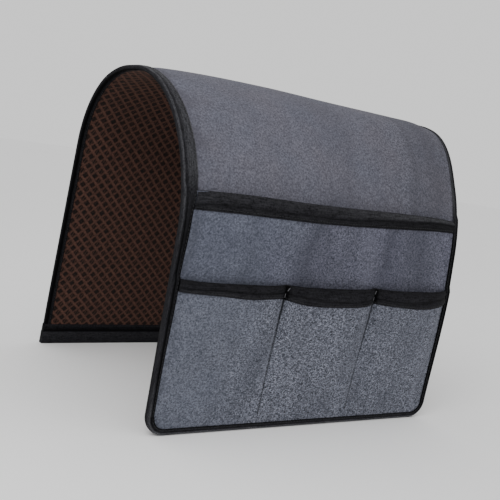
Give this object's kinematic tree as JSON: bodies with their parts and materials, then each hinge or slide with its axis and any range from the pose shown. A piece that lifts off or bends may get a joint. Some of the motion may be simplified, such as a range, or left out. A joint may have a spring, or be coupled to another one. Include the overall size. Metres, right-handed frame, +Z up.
{
  "type": "sofa armrest organizer",
  "caption": "Padded cloth saddle that hangs over a sofa arm, with a large pocket and smaller pockets on its front flap, bound with black tape.",
  "frame": {"origin": "below the middle of the organizer, on the plane of its two hems", "axes": "+X along the sofa arm to the viewer's right, -Y towards the pocket flap's front, +Z up"},
  "size_m": [0.33, 0.3164, 0.3174],
  "materials": {
    "face_felt": "grey felt, brushed",
    "pocket_felt": "blue-grey felt, speckled with light and dark fibres",
    "lining_fabric": "brown cloth with a small dark lattice of blocks",
    "binding_tape": "black woven tape",
    "padding": "thin padding, hidden"
  },
  "bodies": {
    "root": {"face_fabric": "face_felt", "foam_core": "padding", "lining": "lining_fabric", "upper_pocket": "pocket_felt", "upper_pocket_binding": "binding_tape", "lower_pocket": "pocket_felt", "lower_pocket_binding": "binding_tape", "left_edge_binding": "binding_tape", "right_edge_binding": "binding_tape", "front_hem_binding": "binding_tape", "back_hem_band": "binding_tape"}
  },
  "joints": []
}
